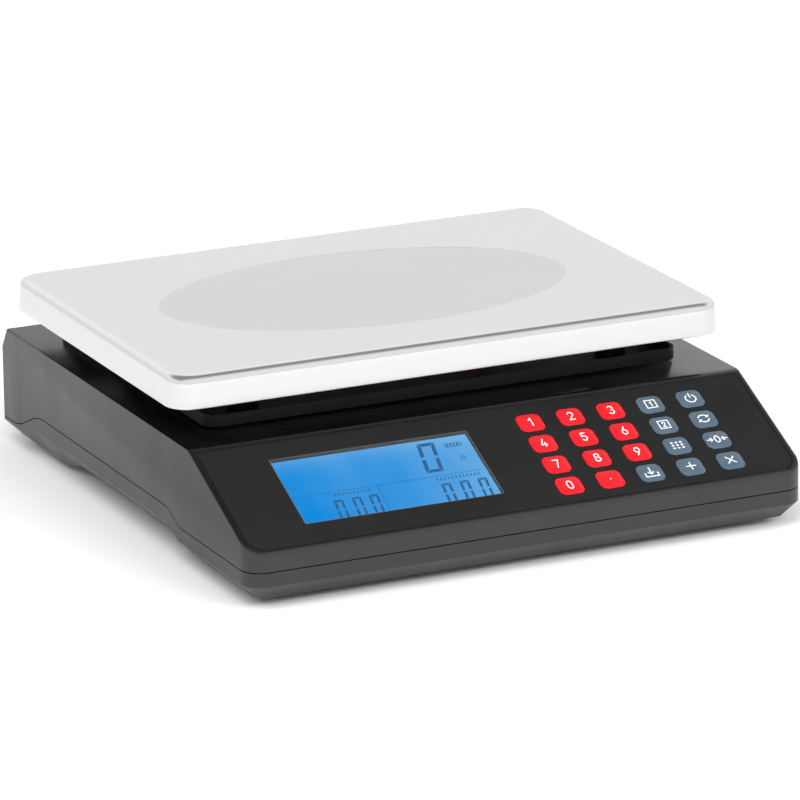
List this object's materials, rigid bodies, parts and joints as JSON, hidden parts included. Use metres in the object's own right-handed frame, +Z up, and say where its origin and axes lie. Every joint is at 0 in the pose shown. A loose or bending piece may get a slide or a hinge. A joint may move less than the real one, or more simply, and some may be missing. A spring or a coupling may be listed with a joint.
{
  "type": "price computing scale",
  "caption": "Bench weighing scale: rectangular steel pan over a black moulded casing with a slanted display and numeric keypad panel.",
  "frame": {"origin": "on the standing surface, under the middle of the casing", "axes": "+X to the operator's right, +Y from the keypad side to the rear, +Z up"},
  "size_m": [0.2976, 0.313, 0.0927],
  "materials": {
    "casing_plastic": "satin black moulded ABS",
    "carrier_plastic": "matt black moulded plastic",
    "panel_film": "printed polyester film, fine matt texture",
    "key_red": "red printed embossed key",
    "key_slate": "slate blue-grey printed embossed key",
    "lens_clear": "clear window",
    "lcd_glass": "blue backlit liquid crystal glass",
    "backlight_plastic": "light guide",
    "circuit_board": "green solder mask",
    "cable_grey": "cable sheath and ribbon",
    "stainless_steel": "fine satin stainless sheet",
    "cell_aluminium": "machined, clear anodised",
    "zinc_steel": "zinc plated",
    "foot_rubber": "matt black rubber",
    "battery_case": "battery case"
  },
  "bodies": {
    "base": {"upper_housing": "casing_plastic", "lower_housing": "casing_plastic", "battery_cover": "casing_plastic", "front_overlay": "panel_film", "display_lens": "lens_clear", "lcd_panel": "lcd_glass", "backlight_panel": "backlight_plastic", "keypad_board": "circuit_board", "main_board": "circuit_board", "keypad_ribbon": "cable_grey", "cell_cable": "cable_grey", "load_cell": "cell_aluminium", "cell_base_block": "cell_aluminium", "cell_bolt_base_1": "zinc_steel", "cell_bolt_base_2": "zinc_steel", "battery": "battery_case", "battery_cover_screw": "zinc_steel", "dc_jack": "carrier_plastic", "case_screw_front_left": "zinc_steel", "case_screw_front_right": "zinc_steel", "case_screw_rear_left": "zinc_steel", "case_screw_rear_right": "zinc_steel"},
    "platform": {"pan_support": "carrier_plastic", "cell_top_block": "cell_aluminium", "cell_bolt_top_1": "zinc_steel", "cell_bolt_top_2": "zinc_steel", "pan_pad_front_left": "foot_rubber", "pan_pad_front_right": "foot_rubber", "pan_pad_rear_left": "foot_rubber", "pan_pad_rear_right": "foot_rubber"},
    "pan": {"weighing_pan": "stainless_steel"},
    "key_0": {"key_0": "key_red"},
    "key_1": {"key_1": "key_red"},
    "key_2": {"key_2": "key_red"},
    "key_3": {"key_3": "key_red"},
    "key_4": {"key_4": "key_red"},
    "key_5": {"key_5": "key_red"},
    "key_6": {"key_6": "key_red"},
    "key_7": {"key_7": "key_red"},
    "key_8": {"key_8": "key_red"},
    "key_9": {"key_9": "key_red"},
    "key_point": {"key_point": "key_red"},
    "key_memory_1": {"key_memory_1": "key_slate"},
    "key_power": {"key_power": "key_slate"},
    "key_memory_2": {"key_memory_2": "key_slate"},
    "key_mode": {"key_mode": "key_slate"},
    "key_pieces": {"key_pieces": "key_slate"},
    "key_tare": {"key_tare": "key_slate"},
    "key_save": {"key_save": "key_slate"},
    "key_add": {"key_add": "key_slate"},
    "key_clear": {"key_clear": "key_slate"},
    "foot_stud_front_left": {"foot_stud_front_left": "zinc_steel"},
    "foot_front_left": {"foot_pad_front_left": "foot_rubber"},
    "foot_stud_front_right": {"foot_stud_front_right": "zinc_steel"},
    "foot_front_right": {"foot_pad_front_right": "foot_rubber"},
    "foot_stud_rear_left": {"foot_stud_rear_left": "zinc_steel"},
    "foot_rear_left": {"foot_pad_rear_left": "foot_rubber"},
    "foot_stud_rear_right": {"foot_stud_rear_right": "zinc_steel"},
    "foot_rear_right": {"foot_pad_rear_right": "foot_rubber"}
  },
  "joints": [
    {"name": "platform_load", "type": "slide", "parent": "base", "child": "platform", "axis": [0, 0, -1], "range_m": [0, 0.0003], "stiffness_N_per_m": 60000, "springref_m": -0.0006},
    {"name": "pan_lift", "type": "slide", "parent": "platform", "child": "pan", "axis": [0, 0, 1], "range_m": [0, 0.06]},
    {"name": "key_0_press", "type": "slide", "parent": "base", "child": "key_0", "axis": [0, 0.4265, -0.9045], "range_m": [0, 0.0005], "stiffness_N_per_m": 800, "springref_m": -0.0005},
    {"name": "key_1_press", "type": "slide", "parent": "base", "child": "key_1", "axis": [0, 0.4265, -0.9045], "range_m": [0, 0.0005], "stiffness_N_per_m": 800, "springref_m": -0.0005},
    {"name": "key_2_press", "type": "slide", "parent": "base", "child": "key_2", "axis": [0, 0.4265, -0.9045], "range_m": [0, 0.0005], "stiffness_N_per_m": 800, "springref_m": -0.0005},
    {"name": "key_3_press", "type": "slide", "parent": "base", "child": "key_3", "axis": [0, 0.4265, -0.9045], "range_m": [0, 0.0005], "stiffness_N_per_m": 800, "springref_m": -0.0005},
    {"name": "key_4_press", "type": "slide", "parent": "base", "child": "key_4", "axis": [0, 0.4265, -0.9045], "range_m": [0, 0.0005], "stiffness_N_per_m": 800, "springref_m": -0.0005},
    {"name": "key_5_press", "type": "slide", "parent": "base", "child": "key_5", "axis": [0, 0.4265, -0.9045], "range_m": [0, 0.0005], "stiffness_N_per_m": 800, "springref_m": -0.0005},
    {"name": "key_6_press", "type": "slide", "parent": "base", "child": "key_6", "axis": [0, 0.4265, -0.9045], "range_m": [0, 0.0005], "stiffness_N_per_m": 800, "springref_m": -0.0005},
    {"name": "key_7_press", "type": "slide", "parent": "base", "child": "key_7", "axis": [0, 0.4265, -0.9045], "range_m": [0, 0.0005], "stiffness_N_per_m": 800, "springref_m": -0.0005},
    {"name": "key_8_press", "type": "slide", "parent": "base", "child": "key_8", "axis": [0, 0.4265, -0.9045], "range_m": [0, 0.0005], "stiffness_N_per_m": 800, "springref_m": -0.0005},
    {"name": "key_9_press", "type": "slide", "parent": "base", "child": "key_9", "axis": [0, 0.4265, -0.9045], "range_m": [0, 0.0005], "stiffness_N_per_m": 800, "springref_m": -0.0005},
    {"name": "key_point_press", "type": "slide", "parent": "base", "child": "key_point", "axis": [0, 0.4265, -0.9045], "range_m": [0, 0.0005], "stiffness_N_per_m": 800, "springref_m": -0.0005},
    {"name": "key_memory_1_press", "type": "slide", "parent": "base", "child": "key_memory_1", "axis": [0, 0.4265, -0.9045], "range_m": [0, 0.0005], "stiffness_N_per_m": 800, "springref_m": -0.0005},
    {"name": "key_power_press", "type": "slide", "parent": "base", "child": "key_power", "axis": [0, 0.4265, -0.9045], "range_m": [0, 0.0005], "stiffness_N_per_m": 800, "springref_m": -0.0005},
    {"name": "key_memory_2_press", "type": "slide", "parent": "base", "child": "key_memory_2", "axis": [0, 0.4265, -0.9045], "range_m": [0, 0.0005], "stiffness_N_per_m": 800, "springref_m": -0.0005},
    {"name": "key_mode_press", "type": "slide", "parent": "base", "child": "key_mode", "axis": [0, 0.4265, -0.9045], "range_m": [0, 0.0005], "stiffness_N_per_m": 800, "springref_m": -0.0005},
    {"name": "key_pieces_press", "type": "slide", "parent": "base", "child": "key_pieces", "axis": [0, 0.4265, -0.9045], "range_m": [0, 0.0005], "stiffness_N_per_m": 800, "springref_m": -0.0005},
    {"name": "key_tare_press", "type": "slide", "parent": "base", "child": "key_tare", "axis": [0, 0.4265, -0.9045], "range_m": [0, 0.0005], "stiffness_N_per_m": 800, "springref_m": -0.0005},
    {"name": "key_save_press", "type": "slide", "parent": "base", "child": "key_save", "axis": [0, 0.4265, -0.9045], "range_m": [0, 0.0005], "stiffness_N_per_m": 800, "springref_m": -0.0005},
    {"name": "key_add_press", "type": "slide", "parent": "base", "child": "key_add", "axis": [0, 0.4265, -0.9045], "range_m": [0, 0.0005], "stiffness_N_per_m": 800, "springref_m": -0.0005},
    {"name": "key_clear_press", "type": "slide", "parent": "base", "child": "key_clear", "axis": [0, 0.4265, -0.9045], "range_m": [0, 0.0005], "stiffness_N_per_m": 800, "springref_m": -0.0005},
    {"name": "foot_front_left_drop", "type": "slide", "parent": "base", "child": "foot_stud_front_left", "axis": [0, 0, -1], "range_m": [0, 0.005]},
    {"name": "foot_front_left_turn", "type": "hinge", "parent": "foot_stud_front_left", "child": "foot_front_left", "pos_m": [-0.115, -0.12, 0.002], "axis": [0, 0, -1], "range_deg": [0, 1801]},
    {"name": "foot_front_right_drop", "type": "slide", "parent": "base", "child": "foot_stud_front_right", "axis": [0, 0, -1], "range_m": [0, 0.005]},
    {"name": "foot_front_right_turn", "type": "hinge", "parent": "foot_stud_front_right", "child": "foot_front_right", "pos_m": [0.115, -0.12, 0.002], "axis": [0, 0, -1], "range_deg": [0, 1801]},
    {"name": "foot_rear_left_drop", "type": "slide", "parent": "base", "child": "foot_stud_rear_left", "axis": [0, 0, -1], "range_m": [0, 0.005]},
    {"name": "foot_rear_left_turn", "type": "hinge", "parent": "foot_stud_rear_left", "child": "foot_rear_left", "pos_m": [-0.108, 0.128, 0.002], "axis": [0, 0, -1], "range_deg": [0, 1801]},
    {"name": "foot_rear_right_drop", "type": "slide", "parent": "base", "child": "foot_stud_rear_right", "axis": [0, 0, -1], "range_m": [0, 0.005]},
    {"name": "foot_rear_right_turn", "type": "hinge", "parent": "foot_stud_rear_right", "child": "foot_rear_right", "pos_m": [0.108, 0.128, 0.002], "axis": [0, 0, -1], "range_deg": [0, 1801]}
  ],
  "couplings": [
    {"joint": "foot_front_left_turn", "follows": "foot_front_left_drop", "rad_per_m": 6283.2},
    {"joint": "foot_front_right_turn", "follows": "foot_front_right_drop", "rad_per_m": 6283.2},
    {"joint": "foot_rear_left_turn", "follows": "foot_rear_left_drop", "rad_per_m": 6283.2},
    {"joint": "foot_rear_right_turn", "follows": "foot_rear_right_drop", "rad_per_m": 6283.2}
  ]
}
